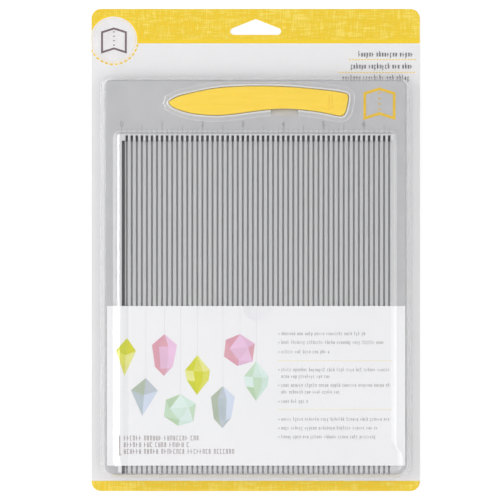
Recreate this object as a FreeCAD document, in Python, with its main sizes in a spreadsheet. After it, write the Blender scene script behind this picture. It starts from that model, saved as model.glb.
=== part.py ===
import FreeCAD, Part

# A small scoring board for paper crafting, packed for sale: backing card, grooved board on four
# rubber feet, bone folder in its cradle, printed insert, and a clear thermoformed cover.
#
# Millimetres. +Z points out of the grooved face, +Y towards the hang hole, +X to the right.
# The origin is the centre of the backing card's back face.

import math
import os

import Sketcher
from FreeCAD import Vector

SIZES = {
    # backing card
    "card_width": 207.0,
    "card_length": 304.0,
    "card_corner": 6.0,
    "card_thickness": 0.6,
    # delta-shaped hang hole, the same in the card and in the cover
    "hole_width": 32.0,
    "hole_low_y": 135.7,
    "hole_peak_y": 145.6,
    "hole_end_round": 2.15,
    "hole_peak_round": 1.0,
    # moulded board
    "board_width": 188.9,
    "board_front_y": -140.9,
    "board_back_y": 106.8,
    "board_front_corner": 5.0,
    "board_back_corner": 4.0,
    "board_thickness": 8.0,
    "board_edge_round": 1.0,
    # grooves: one every eighth of an inch, counted from the left fence
    "zero_x": -84.3,
    "groove_pitch": 3.175,
    "groove_count": 53,
    "groove_width": 1.06,
    "groove_depth": 1.8,
    "rib_round": 0.45,
    # fences that the paper is pushed against
    "fence_height": 1.5,
    "left_fence_width": 2.4,
    "channel_width": 2.0,
    "channel_depth": 2.4,
    "comb_front_y": 68.8,
    "comb_back_y": 73.0,
    "comb_right_x": 87.0,
    "comb_slot_width": 1.65,
    "comb_slot_depth": 2.4,
    "comb_bar_width": 0.9,
    # raised ruler ticks behind the comb
    "tick_width": 0.3,
    "tick_height": 0.12,
    "tick_front_y": 73.4,
    "eighth_tick_back_y": 76.0,
    "half_tick_back_y": 78.4,
    "inch_tick_back_y": 80.0,
    # hollow underside
    "outer_wall": 2.0,
    "web": 1.6,
    "cell_depth": 5.0,
    "cell_columns": 7,
    "cell_rows": 9,
    "foot_boss_radius": 7.0,
    "foot_boss_height": 5.5,
    # rubber feet
    "foot_radius": 5.0,
    "foot_gap": 0.1,
    "foot_seat": 0.8,
    "foot_proud": 1.0,
    "foot_round": 0.4,
    "foot_inset": 14.8,
    # bone folder and its cradle
    "folder_thickness": 4.0,
    "folder_top_round": 0.6,
    "folder_bottom_round": 0.5,
    "folder_gap": 0.3,
    "folder_lift": 0.05,
    "cradle_depth": 1.6,
    "rim_width": 1.2,
    "rim_height": 1.2,
    "notch_left_x": 9.4,
    "notch_right_x": 26.6,
    "notch_front_y": 84.3,
    "notch_floor_y": 88.3,
    "nub_radius": 0.5,
    "nub_offset": 0.7,
    # printed insert: paper that steps over the left fence
    "label_left_x": -93.6,
    "label_right_x": 94.0,
    "label_front_y": -135.7,
    "label_length": 100.5,
    "label_thickness": 0.25,
    "label_gap": 0.05,
    "label_rise_x": -88.6,
    "label_crest_left_x": -86.75,
    "label_crest_right_x": -84.25,
    "label_fall_x": -80.0,
    # clear cover: one sheet, drawn down over the board
    "sheet": 0.4,
    "cover_gap": 0.4,
    "cover_wall_margin": 2.9,
    "cover_draft": 14.0,
    "panel_left_x": -89.6,
    "panel_right_x": 88.8,
    "panel_back_y": 75.1,
    "panel_front_gap": 0.4,
    "panel_corner": 3.0,
    "bulge_margin": 2.5,
}

# The folder's outline, anticlockwise from its tip: the belly, the waist where a finger lifts
# it, the blunt end and the long back.
FOLDER_OUTLINE = [
    (-54.6, 92.6),
    (-53.5, 90.9),
    (-50.2, 89.0),
    (-42.6, 86.5),
    (-33.0, 85.1),
    (-22.0, 84.8),
    (-10.0, 86.0),
    (2.7, 87.7),
    (17.8, 88.8),
    (32.9, 87.8),
    (44.0, 86.1),
    (52.4, 84.4),
    (54.8, 84.5),
    (56.2, 86.1),
    (57.6, 91.0),
    (58.3, 96.0),
    (57.9, 97.8),
    (56.2, 98.6),
    (44.0, 100.5),
    (25.3, 102.3),
    (2.7, 103.1),
    (-12.4, 102.8),
    (-27.5, 101.4),
    (-42.6, 98.3),
    (-53.3, 94.3),
]

# Snap nubs on the cradle's rim: a point of the folder's edge, and the side of it they are on.
NUBS = [
    (-28.4, 101.25, 1),
    (18.2, 102.6, 1),
    (-28.4, 84.85, -1),
    (1.5, 87.55, -1),
    (35.0, 87.55, -1),
]

EIGHTHS_PER_HALF = 4
EIGHTHS_PER_INCH = 8


class Size:
    """A length as a number and as the spreadsheet expression that gives it."""

    def __init__(self, number, text):
        self.number = number
        self.text = text

    def joined(self, other, sign, number):
        text = other.text if isinstance(other, Size) else str(other)
        return Size(number, f"({self.text} {sign} {text})")

    def __add__(self, other):
        return self.joined(other, "+", self.number + number_of(other))

    def __sub__(self, other):
        return self.joined(other, "-", self.number - number_of(other))

    def __mul__(self, other):
        return self.joined(other, "*", self.number * number_of(other))

    def __truediv__(self, other):
        return self.joined(other, "/", self.number / number_of(other))

    def __neg__(self):
        return Size(-self.number, f"(0 - {self.text})")


def number_of(value):
    return value.number if isinstance(value, Size) else value


def size(name):
    return Size(SIZES[name], "Sizes." + name)


NOTHING = Size(0.0, "0")


doc = FreeCAD.newDocument("ScoringBoard")
sheet = doc.addObject("Spreadsheet::Sheet", "Sizes")
for row, (name, value) in enumerate(SIZES.items(), start=1):
    sheet.set(f"A{row}", name)
    sheet.set(f"B{row}", str(value))
    sheet.setAlias(f"B{row}", name)
doc.recompute()

# Heights above the card's back face.
CARD_TOP = size("card_thickness")
BOARD_BOTTOM = CARD_TOP + size("foot_proud")
BOARD_TOP = BOARD_BOTTOM + size("board_thickness")
FENCE_TOP = BOARD_TOP + size("fence_height")
GROOVE_FLOOR = BOARD_TOP - size("groove_depth")
CRADLE_FLOOR = BOARD_TOP - size("cradle_depth")
RIM_TOP = BOARD_TOP + size("rim_height")
FOLDER_BOTTOM = CRADLE_FLOOR + size("folder_lift")
FOLDER_TOP = FOLDER_BOTTOM + size("folder_thickness")
TRAY_CEILING = BOARD_TOP + size("cover_gap")
PANEL_CEILING = FENCE_TOP + size("cover_gap")
BULGE_CEILING = FOLDER_TOP + size("cover_gap")

BOARD_LEFT_X = -size("board_width") / 2
BOARD_RIGHT_X = size("board_width") / 2


# ---- helpers ----


def bind(item, name, value):
    item.setExpression(name, value.text)


def new_body(label):
    body = doc.addObject("PartDesign::Body", label + "_body")
    body.Label = label
    return body


def origin_plane(body, role):
    return next(item for item in body.Origin.OriginFeatures if item.Role == role)


def new_sketch(body, name, role="XY_Plane", offset=None):
    """A sketch on one of the body's origin planes, moved along that plane's normal by offset."""
    sketch = body.newObject("Sketcher::SketchObject", name)
    sketch.AttachmentSupport = [(origin_plane(body, role), "")]
    sketch.MapMode = "FlatFace"
    if offset is not None:
        bind(sketch, "AttachmentOffset.Base.z", offset)
    return sketch


def constrain(sketch, kind, references, value):
    """Adds a dimension that the spreadsheet drives."""
    index = sketch.addConstraint(Sketcher.Constraint(kind, *references, value.number))
    name = f"size{index}"
    sketch.renameConstraint(index, name)
    bind(sketch, "Constraints." + name, value)


def polygon(sketch, corners):
    """A closed outline of straight lines through corners, which are pairs of sizes."""
    points = [Vector(x.number, y.number, 0) for x, y in corners]
    first = sketch.GeometryCount
    count = len(points)
    for index, point in enumerate(points):
        sketch.addGeometry(Part.LineSegment(point, points[(index + 1) % count]))
    for index, (x, y) in enumerate(corners):
        line = first + index
        following = first + (index + 1) % count
        sketch.addConstraint(Sketcher.Constraint("Coincident", line, 2, following, 1))
        constrain(sketch, "DistanceX", (-1, 1, line, 1), x)
        constrain(sketch, "DistanceY", (-1, 1, line, 1), y)


def rectangle(sketch, left, front, right, back):
    polygon(sketch, [(left, front), (right, front), (right, back), (left, back)])


def tangent_loop(sketch, circles):
    """Arcs of the given circles, joined by tangent lines, anticlockwise and closed.

    circles are (centre x, centre y, radius) as sizes. Returns the arcs' numbers.
    """
    count = len(circles)
    normals = []
    for index in range(count):
        x1, y1, r1 = (value.number for value in circles[index])
        x2, y2, r2 = (value.number for value in circles[(index + 1) % count])
        distance = math.hypot(x2 - x1, y2 - y1)
        along = Vector((x2 - x1) / distance, (y2 - y1) / distance, 0)
        outward = Vector(along.y, -along.x, 0)
        lean = math.asin((r1 - r2) / distance)
        normals.append(outward * math.cos(lean) + along * math.sin(lean))
    arcs = []
    for index, circle in enumerate(circles):
        centre = Vector(circle[0].number, circle[1].number, 0)
        radius = circle[2].number
        before = normals[index - 1]
        after = normals[index]
        start = math.atan2(before.y, before.x)
        end = math.atan2(after.y, after.x)
        if end < start:
            end += 2 * math.pi
        arc = Part.ArcOfCircle(Part.Circle(centre, Vector(0, 0, 1), radius), start, end)
        arcs.append(sketch.addGeometry(arc))
        following = circles[(index + 1) % count]
        next_centre = Vector(following[0].number, following[1].number, 0)
        line_start = centre + after * radius
        line_end = next_centre + after * following[2].number
        sketch.addGeometry(Part.LineSegment(line_start, line_end))
    for index, arc in enumerate(arcs):
        next_arc = arcs[(index + 1) % count]
        sketch.addConstraint(Sketcher.Constraint("Tangent", arc, 2, arc + 1, 1))
        sketch.addConstraint(Sketcher.Constraint("Tangent", arc + 1, 2, next_arc, 1))
        constrain(sketch, "Radius", (arc,), circles[index][2])
    return arcs


def rounded_rectangle(sketch, left, front, right, back, front_corner, back_corner):
    circles = [
        (left + front_corner, front + front_corner, front_corner),
        (right - front_corner, front + front_corner, front_corner),
        (right - back_corner, back - back_corner, back_corner),
        (left + back_corner, back - back_corner, back_corner),
    ]
    arcs = tangent_loop(sketch, circles)
    for side, kind in ((0, "Horizontal"), (1, "Vertical"), (2, "Horizontal"), (3, "Vertical")):
        sketch.addConstraint(Sketcher.Constraint(kind, arcs[side] + 1))
    constrain(sketch, "DistanceY", (-1, 1, arcs[0] + 1, 1), front)
    constrain(sketch, "DistanceX", (-1, 1, arcs[1] + 1, 1), right)
    constrain(sketch, "DistanceY", (-1, 1, arcs[2] + 1, 1), back)
    constrain(sketch, "DistanceX", (-1, 1, arcs[3] + 1, 1), left)


def pad(body, name, sketch, length, taper=None):
    feature = body.newObject("PartDesign::Pad", name)
    feature.Profile = sketch
    bind(feature, "Length", length)
    if taper is not None:
        bind(feature, "TaperAngle", -taper)
    doc.recompute()
    return feature


def pocket(body, name, sketch, length, reverse=False, taper=None):
    """Cuts into the body, and stops if nothing was cut."""
    before = body.Tip.Shape.Volume
    feature = body.newObject("PartDesign::Pocket", name)
    feature.Profile = sketch
    feature.Reversed = reverse
    bind(feature, "Length", length)
    if taper is not None:
        bind(feature, "TaperAngle", -taper)
    doc.recompute()
    assert feature.Shape.Volume < before, name + " cuts nothing"
    return feature


def row_of(body, feature, sketch, spacing, count):
    """Repeats a feature along its sketch's horizontal axis."""
    pattern = body.newObject("PartDesign::LinearPattern", feature.Name + "_row")
    pattern.Originals = [feature]
    pattern.Direction = (sketch, ["H_Axis"])
    bind(pattern, "Length", spacing * (count - 1))
    bind(pattern, "Occurrences", count)
    body.Tip = pattern
    doc.recompute()
    return pattern


def grid_of(body, feature, sketch, column_step, columns, row_step, rows):
    """Repeats a feature along both axes of its sketch."""
    pattern = body.newObject("PartDesign::LinearPattern", feature.Name + "_grid")
    pattern.Originals = [feature]
    pattern.Direction = (sketch, ["H_Axis"])
    bind(pattern, "Length", column_step * (columns - 1))
    bind(pattern, "Occurrences", columns)
    pattern.Direction2 = (sketch, ["V_Axis"])
    bind(pattern, "Length2", row_step * (rows - 1))
    bind(pattern, "Occurrences2", rows)
    body.Tip = pattern
    doc.recompute()
    return pattern


def edges_where(shape, wanted):
    return [f"Edge{index}" for index, edge in enumerate(shape.Edges, start=1) if wanted(edge)]


def level(edge, height):
    """True if the whole edge lies at the given height."""
    box = edge.BoundBox
    return abs(box.ZMin - height) < 0.001 and abs(box.ZMax - height) < 0.001


def round_edges(body, name, base, height, radius):
    """Rounds all edges of base that lie at one height."""
    feature = body.newObject("PartDesign::Fillet", name)
    feature.Base = (base, edges_where(base.Shape, lambda edge: level(edge, height.number)))
    bind(feature, "Radius", radius)
    doc.recompute()
    return feature


def hang_hole(body, bottom):
    """Cuts the delta-shaped hang hole through the sheet that starts at the given height."""
    sketch = new_sketch(body, "HangHoleOutline", offset=bottom)
    end_round = size("hole_end_round")
    end_x = size("hole_width") / 2 - end_round
    end_y = size("hole_low_y") + end_round
    peak_round = size("hole_peak_round")
    peak_y = size("hole_peak_y") - peak_round
    circles = [(-end_x, end_y, end_round), (end_x, end_y, end_round), (NOTHING, peak_y, peak_round)]
    arcs = tangent_loop(sketch, circles)
    sketch.addConstraint(Sketcher.Constraint("Horizontal", arcs[0] + 1))
    sketch.addConstraint(Sketcher.Constraint("PointOnObject", arcs[2], 3, -2))
    constrain(sketch, "DistanceX", (-1, 1, arcs[0], 3), -end_x)
    constrain(sketch, "DistanceY", (-1, 1, arcs[0], 3), end_y)
    constrain(sketch, "DistanceX", (-1, 1, arcs[1], 3), end_x)
    constrain(sketch, "DistanceY", (-1, 1, arcs[2], 3), peak_y)
    return pocket(body, "HangHole", sketch, size("card_thickness"), reverse=True)


def card_outline(sketch):
    half_width = size("card_width") / 2
    half_length = size("card_length") / 2
    corner = size("card_corner")
    rounded_rectangle(sketch, -half_width, -half_length, half_width, half_length, corner, corner)


def board_outline(sketch, margin):
    """The board's outline, or one that stands off it by margin."""
    rounded_rectangle(
        sketch,
        BOARD_LEFT_X - margin,
        size("board_front_y") - margin,
        BOARD_RIGHT_X + margin,
        size("board_back_y") + margin,
        size("board_front_corner") + margin,
        size("board_back_corner") + margin,
    )


# ---- backing card ----


def make_backing_card():
    body = new_body("backing_card")
    sketch = new_sketch(body, "CardOutline")
    card_outline(sketch)
    pad(body, "Card", sketch, size("card_thickness"))
    hang_hole(body, NOTHING)
    return body


# ---- blocks that follow the folder's outline ----


def closed_curve(points):
    curve = Part.BSplineCurve()
    curve.interpolate(Points=points, PeriodicFlag=True)
    return curve


def folder_outline(name, margin):
    """The folder's free-form outline, or the smooth curve that stands off it by margin."""
    points = [Vector(x, y, 0) for x, y in FOLDER_OUTLINE]
    curve = closed_curve(points)
    moved = []
    for point in points:
        along = curve.tangent(curve.parameter(point))[0]
        outward = Vector(along.y, -along.x, 0)
        moved.append(point + outward * margin.number)
    outline = doc.addObject("Part::Feature", name)
    outline.Shape = Part.Wire([closed_curve(moved).toShape()])
    return outline


def folder_block(name, margin, bottom, top):
    """A solid between two heights, whose outline stands off the folder's by margin."""
    block = doc.addObject("Part::Extrusion", name)
    block.Base = folder_outline(name + "Outline", margin)
    block.DirMode = "Custom"
    block.Dir = Vector(0, 0, 1)
    block.Solid = True
    bind(block, "LengthFwd", top)
    bind(block, "LengthRev", -bottom)
    doc.recompute()
    return block


def combined(kind, name, base, tool):
    result = doc.addObject("Part::" + kind, name)
    result.Base = base
    result.Tool = tool
    doc.recompute()
    return result


# ---- the moulded board ----


def add_fences(body):
    left_x = size("zero_x") - size("left_fence_width")
    front_y = size("board_front_y") + size("board_edge_round")
    sketch = new_sketch(body, "FenceOutline", offset=BOARD_TOP)
    corners = [
        (left_x, front_y),
        (size("zero_x"), front_y),
        (size("zero_x"), size("comb_front_y")),
        (size("comb_right_x"), size("comb_front_y")),
        (size("comb_right_x"), size("comb_back_y")),
        (left_x, size("comb_back_y")),
    ]
    polygon(sketch, corners)
    pad(body, "Fences", sketch, size("fence_height"))


def groove_profile(sketch, centre):
    """A round-bottomed groove between two rounded rib shoulders, open above the board."""
    half = size("groove_width") / 2
    shoulder = size("rib_round")
    top = BOARD_TOP.number
    middle = centre.number
    left = middle - half.number
    right = middle + half.number
    bend = shoulder.number
    floor_centre = GROOVE_FLOOR.number + half.number
    above = top + bend
    quarter = math.pi / 2
    up = Vector(0, 0, 1)

    def arc(x, y, radius, start, end):
        return Part.ArcOfCircle(Part.Circle(Vector(x, y, 0), up, radius), start, end)

    def line(x1, y1, x2, y2):
        return Part.LineSegment(Vector(x1, y1, 0), Vector(x2, y2, 0))

    sketch.addGeometry(line(left - bend, above, left - bend, top))
    sketch.addGeometry(arc(left - bend, top - bend, bend, 0, quarter))
    sketch.addGeometry(line(left, top - bend, left, floor_centre))
    sketch.addGeometry(arc(middle, floor_centre, half.number, 2 * quarter, 4 * quarter))
    sketch.addGeometry(line(right, floor_centre, right, top - bend))
    sketch.addGeometry(arc(right + bend, top - bend, bend, quarter, 2 * quarter))
    sketch.addGeometry(line(right + bend, top, right + bend, above))
    sketch.addGeometry(line(right + bend, above, left - bend, above))
    for joint in ((0, 2, 1, 2), (5, 1, 6, 1), (6, 2, 7, 1), (7, 2, 0, 1)):
        sketch.addConstraint(Sketcher.Constraint("Coincident", *joint))
    for joint in ((1, 1, 2, 1), (2, 2, 3, 1), (3, 2, 4, 1), (4, 2, 5, 2)):
        sketch.addConstraint(Sketcher.Constraint("Tangent", *joint))
    for vertical in (0, 2, 4, 6):
        sketch.addConstraint(Sketcher.Constraint("Vertical", vertical))
    sketch.addConstraint(Sketcher.Constraint("Horizontal", 7))
    constrain(sketch, "Radius", (1,), shoulder)
    constrain(sketch, "Radius", (3,), half)
    constrain(sketch, "Radius", (5,), shoulder)
    constrain(sketch, "DistanceX", (-1, 1, 3, 3), centre)
    constrain(sketch, "DistanceY", (-1, 1, 3, 3), GROOVE_FLOOR + half)
    constrain(sketch, "DistanceY", (-1, 1, 7, 1), BOARD_TOP + shoulder)
    constrain(sketch, "DistanceY", (-1, 1, 1, 3), BOARD_TOP - shoulder)
    constrain(sketch, "DistanceY", (-1, 1, 5, 3), BOARD_TOP - shoulder)
    constrain(sketch, "DistanceX", (-1, 1, 0, 1), centre - half - shoulder)
    constrain(sketch, "DistanceX", (-1, 1, 7, 1), centre + half + shoulder)


def cut_grooves(body):
    """The row of grooves, open at the board's front, and a wider, deeper channel by the fence."""
    first_x = size("zero_x") + size("groove_pitch")
    bed_length = size("comb_front_y") - size("board_front_y")
    sketch = new_sketch(body, "GrooveProfile", "XZ_Plane", -size("comb_front_y"))
    groove_profile(sketch, first_x)
    groove = pocket(body, "Groove", sketch, bed_length, reverse=True)
    row_of(body, groove, sketch, size("groove_pitch"), size("groove_count"))

    channel = new_sketch(body, "FenceChannelOutline", offset=BOARD_TOP)
    channel_right = size("zero_x") + size("channel_width")
    front_y = size("board_front_y") - size("board_edge_round")
    rectangle(channel, size("zero_x"), front_y, channel_right, size("comb_front_y"))
    pocket(body, "FenceChannel", channel, size("channel_depth"))


def cut_comb(body):
    """Slots that let the folder's tip run past the paper's top edge, with a bar behind them."""
    sketch = new_sketch(body, "CombSlotOutline", offset=FENCE_TOP)
    centre = size("zero_x") + size("groove_pitch")
    half = size("comb_slot_width") / 2
    front_y = size("comb_front_y") - size("rib_round")
    back_y = size("comb_back_y") - size("comb_bar_width")
    rectangle(sketch, centre - half, front_y, centre + half, back_y)
    depth = size("fence_height") + size("comb_slot_depth")
    slot = pocket(body, "CombSlot", sketch, depth)
    row_of(body, slot, sketch, size("groove_pitch"), size("groove_count"))


def add_ticks(body):
    """Three lengths of raised ruler tick, one set on top of the other."""
    marks = [
        ("Eighth", 1, size("eighth_tick_back_y")),
        ("Half", EIGHTHS_PER_HALF, size("half_tick_back_y")),
        ("Inch", EIGHTHS_PER_INCH, size("inch_tick_back_y")),
    ]
    half = size("tick_width") / 2
    for name, eighths, back_y in marks:
        sketch = new_sketch(body, name + "TickOutline", offset=BOARD_TOP)
        rectangle(sketch, size("zero_x") - half, size("tick_front_y"), size("zero_x") + half, back_y)
        tick = pad(body, name + "Tick", sketch, size("tick_height"))
        count = SIZES["groove_count"] // eighths + 1
        row_of(body, tick, sketch, size("groove_pitch") * eighths, Size(count, str(count)))


def foot_places():
    """Each foot's name and centre, near the board's four corners."""
    inset = size("foot_inset")
    columns = {"left": BOARD_LEFT_X + inset, "right": BOARD_RIGHT_X - inset}
    rows = {"front": size("board_front_y") + inset, "back": size("board_back_y") - inset}
    for row, y in rows.items():
        for column, x in columns.items():
            yield f"foot_{row}_{column}", x, y


def circle(sketch, x, y, radius):
    centre = Vector(x.number, y.number, 0)
    ring = sketch.addGeometry(Part.Circle(centre, Vector(0, 0, 1), radius.number))
    constrain(sketch, "Radius", (ring,), radius)
    constrain(sketch, "DistanceX", (-1, 1, ring, 3), x)
    constrain(sketch, "DistanceY", (-1, 1, ring, 3), y)


def hollow_underside(body):
    """A grid of cells with webs between them, and four bosses with seats for the feet."""
    columns = size("cell_columns")
    rows = size("cell_rows")
    wall = size("outer_wall")
    web = size("web")
    inside_width = size("board_width") - wall * 2
    inside_length = size("board_back_y") - size("board_front_y") - wall * 2
    cell_width = (inside_width - web * (columns - 1)) / columns
    cell_length = (inside_length - web * (rows - 1)) / rows
    left_x = BOARD_LEFT_X + wall
    front_y = size("board_front_y") + wall
    sketch = new_sketch(body, "CellOutline", offset=BOARD_BOTTOM)
    rectangle(sketch, left_x, front_y, left_x + cell_width, front_y + cell_length)
    cell = pocket(body, "Cell", sketch, size("cell_depth"), reverse=True)
    grid_of(body, cell, sketch, cell_width + web, columns, cell_length + web, rows)

    bosses = new_sketch(body, "FootBossOutline", offset=BOARD_BOTTOM)
    seats = new_sketch(body, "FootSeatOutline", offset=BOARD_BOTTOM)
    for _, x, y in foot_places():
        circle(bosses, x, y, size("foot_boss_radius"))
        circle(seats, x, y, size("foot_radius") + size("foot_gap"))
    pad(body, "FootBosses", bosses, size("foot_boss_height"))
    pocket(body, "FootSeats", seats, size("foot_seat"), reverse=True)


def finger_notch():
    """What is cut away for a fingertip: a gap in the rim and a ramp down to the cradle's floor."""
    body = new_body("FingerNotch")
    sketch = new_sketch(body, "NotchProfile", "YZ_Plane", size("notch_left_x"))
    high = RIM_TOP + size("rim_height")
    back_y = size("notch_floor_y") + size("rim_width") * 4
    corners = [
        (size("notch_front_y"), BOARD_TOP),
        (size("notch_floor_y"), CRADLE_FLOOR),
        (back_y, CRADLE_FLOOR),
        (back_y, high),
        (size("notch_front_y"), high),
    ]
    polygon(sketch, corners)
    pad(body, "Notch", sketch, size("notch_right_x") - size("notch_left_x"))
    return body


def snap_nubs():
    """Small posts on the rim, which the folder's edge passes with little room."""
    nubs = []
    for index, (x, y, side) in enumerate(NUBS, start=1):
        nub = doc.addObject("Part::Cylinder", f"Nub{index}")
        bind(nub, "Radius", size("nub_radius"))
        bind(nub, "Height", RIM_TOP - CRADLE_FLOOR)
        nub.Placement.Base = Vector(x, y + side * SIZES["nub_offset"], 0)
        bind(nub, "Placement.Base.z", CRADLE_FLOOR)
        nubs.append(nub)
    group = doc.addObject("Part::MultiFuse", "Nubs")
    group.Shapes = nubs
    doc.recompute()
    return group


def add_cradle(blank):
    """Gives the blank the folder's cradle: a sunk floor, a rim, a finger notch and snap nubs."""
    gap = size("folder_gap")
    top = RIM_TOP + size("rim_height")
    rim = folder_block("Rim", gap + size("rim_width"), CRADLE_FLOOR, RIM_TOP)
    hollow = folder_block("CradleHollow", gap, CRADLE_FLOOR, top)
    board = combined("Fuse", "BlankWithRim", blank, rim)
    board = combined("Cut", "BlankWithCradle", board, hollow)
    board = combined("Cut", "BlankWithNotch", board, finger_notch())
    return combined("Fuse", "BlankWithNubs", board, snap_nubs())


def make_scoring_board():
    body = new_body("BoardBlank")
    sketch = new_sketch(body, "BoardOutline", offset=BOARD_BOTTOM)
    board_outline(sketch, NOTHING)
    blank = pad(body, "Blank", sketch, size("board_thickness"))
    round_edges(body, "TopEdge", blank, BOARD_TOP, size("board_edge_round"))

    board = new_body("scoring_board")
    board.BaseFeature = add_cradle(body)
    doc.recompute()
    add_fences(board)
    add_ticks(board)
    hollow_underside(board)
    cut_grooves(board)
    cut_comb(board)
    return board


# ---- feet ----


def make_foot(name, x, y):
    body = new_body(name)
    sketch = new_sketch(body, "FootOutline", offset=CARD_TOP)
    circle(sketch, x, y, size("foot_radius"))
    disc = pad(body, "Disc", sketch, size("foot_proud") + size("foot_seat"))
    round_edges(body, "TreadEdge", disc, CARD_TOP, size("foot_round"))
    return body


# ---- bone folder ----


def make_bone_folder():
    block = folder_block("FolderBlock", NOTHING, FOLDER_BOTTOM, FOLDER_TOP)
    rounded = doc.addObject("Part::Fillet", "BoneFolder")
    rounded.Base = block
    edges = []
    for index, edge in enumerate(block.Shape.Edges, start=1):
        if level(edge, FOLDER_TOP.number):
            edges.append((index, SIZES["folder_top_round"], SIZES["folder_top_round"]))
        elif level(edge, FOLDER_BOTTOM.number):
            edges.append((index, SIZES["folder_bottom_round"], SIZES["folder_bottom_round"]))
    rounded.Edges = edges
    rounded.Label = "bone_folder"
    doc.recompute()
    return rounded


# ---- printed insert ----


def make_insert_label():
    body = new_body("insert_label")
    low = BOARD_TOP + size("label_gap")
    high = FENCE_TOP + size("label_gap")
    path = [
        (size("label_left_x"), low),
        (size("label_rise_x"), low),
        (size("label_crest_left_x"), high),
        (size("label_crest_right_x"), high),
        (size("label_fall_x"), low),
        (size("label_right_x"), low),
    ]
    upper = [(x, z + size("label_thickness")) for x, z in reversed(path)]
    back_y = size("label_front_y") + size("label_length")
    sketch = new_sketch(body, "LabelProfile", "XZ_Plane", -back_y)
    polygon(sketch, path + upper)
    pad(body, "Label", sketch, size("label_length"))
    return body


# ---- clear cover ----


def make_clear_cover():
    """Built as an outer form with a smaller form cut out of it, one sheet's thickness inside."""
    body = new_body("CoverShell")
    thickness = size("sheet")
    draft = size("cover_draft")
    flange = new_sketch(body, "FlangeOutline", offset=CARD_TOP)
    card_outline(flange)
    pad(body, "Flange", flange, thickness)
    hang_hole(body, CARD_TOP)

    tray = new_sketch(body, "TrayOutline", offset=CARD_TOP)
    board_outline(tray, size("cover_wall_margin"))
    pad(body, "Tray", tray, TRAY_CEILING + thickness - CARD_TOP, taper=draft)

    left_x = size("panel_left_x")
    right_x = size("panel_right_x")
    back_y = size("panel_back_y")
    front_y = size("board_front_y") - size("panel_front_gap")
    corner = size("panel_corner")
    panel = new_sketch(body, "PanelOutline", offset=TRAY_CEILING)
    rounded_rectangle(panel, left_x, front_y, right_x, back_y, corner, corner)
    pad(body, "Panel", panel, PANEL_CEILING + thickness - TRAY_CEILING)

    tray_inside = new_sketch(body, "TrayInsideOutline", offset=CARD_TOP)
    board_outline(tray_inside, size("cover_wall_margin") - thickness)
    pocket(body, "TrayInside", tray_inside, TRAY_CEILING - CARD_TOP, True, draft)

    panel_inside = new_sketch(body, "PanelInsideOutline", offset=CARD_TOP)
    rounded_rectangle(
        panel_inside,
        left_x + thickness,
        front_y + thickness,
        right_x - thickness,
        back_y - thickness,
        corner - thickness,
        corner - thickness,
    )
    pocket(body, "PanelInside", panel_inside, PANEL_CEILING - CARD_TOP, True)

    margin = size("bulge_margin")
    bulge = folder_block("Bulge", margin, TRAY_CEILING, BULGE_CEILING + thickness)
    inside = folder_block("BulgeInside", margin - thickness, FOLDER_BOTTOM, BULGE_CEILING)
    cover = combined("Fuse", "CoverWithBulge", body, bulge)
    cover = combined("Cut", "ClearCover", cover, inside)
    cover.Label = "clear_cover"
    return cover


# ---- the whole pack ----


def check_objects():
    """Stops if any feature failed, which a recompute doesn't report by itself."""
    for item in doc.Objects:
        failed = [state for state in item.State if state in ("Invalid", "Error")]
        assert not failed, f"{item.Name} is {failed}"


def write_pieces(pieces):
    os.makedirs("parts", exist_ok=True)
    for piece in pieces:
        shape = piece.Shape
        assert not shape.isNull() and shape.isValid(), piece.Label + " has no valid shape"
        assert len(shape.Solids) == 1, piece.Label + " isn't one solid"
        shape.exportStep(f"parts/{piece.Label}.step")
        box = shape.BoundBox
        print(
            f"{piece.Label:18} {shape.Volume / 1000:8.2f} cm3"
            f"  X {box.XMin:7.2f} {box.XMax:7.2f}"
            f"  Y {box.YMin:7.2f} {box.YMax:7.2f}"
            f"  Z {box.ZMin:6.2f} {box.ZMax:6.2f}"
        )


pieces = [make_backing_card(), make_scoring_board()]
pieces += [make_foot(name, x, y) for name, x, y in foot_places()]
pieces.append(make_bone_folder())
pieces.append(make_insert_label())
pieces.append(make_clear_cover())
doc.recompute()
check_objects()
write_pieces(pieces)
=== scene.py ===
"""A small scoring board in its hanging retail pack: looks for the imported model.

The scene is in metres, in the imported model's frame: +X to the right, +Y to the hang hole, +Z out
of the grooved face. Sizes below are in millimetres and turned into metres by mm().
"""

import math
import random

import bmesh
import bpy
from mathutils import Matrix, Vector, geometry


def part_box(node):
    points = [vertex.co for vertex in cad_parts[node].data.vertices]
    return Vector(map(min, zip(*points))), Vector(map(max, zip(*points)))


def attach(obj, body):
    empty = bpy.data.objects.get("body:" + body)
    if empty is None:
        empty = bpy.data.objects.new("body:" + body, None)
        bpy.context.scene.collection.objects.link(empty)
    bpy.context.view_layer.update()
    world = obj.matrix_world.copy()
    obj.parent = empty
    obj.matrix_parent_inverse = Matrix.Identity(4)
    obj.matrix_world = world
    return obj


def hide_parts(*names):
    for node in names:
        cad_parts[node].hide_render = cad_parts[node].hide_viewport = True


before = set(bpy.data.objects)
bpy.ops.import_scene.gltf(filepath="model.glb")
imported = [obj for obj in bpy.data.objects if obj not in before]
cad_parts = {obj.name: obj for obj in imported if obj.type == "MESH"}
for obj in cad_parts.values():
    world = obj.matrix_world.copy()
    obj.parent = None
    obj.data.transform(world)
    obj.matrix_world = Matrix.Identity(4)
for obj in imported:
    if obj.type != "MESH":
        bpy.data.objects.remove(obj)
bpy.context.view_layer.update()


def mm(value):
    return value * 0.001


# ---- places, read from the frame ----

CARD_LOW, CARD_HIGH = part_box("backing_card")
BOARD_LOW, BOARD_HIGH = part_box("scoring_board")
FOLDER_LOW, FOLDER_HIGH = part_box("bone_folder")
LABEL_LOW, LABEL_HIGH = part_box("insert_label")
COVER_LOW, COVER_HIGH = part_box("clear_cover")

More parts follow.
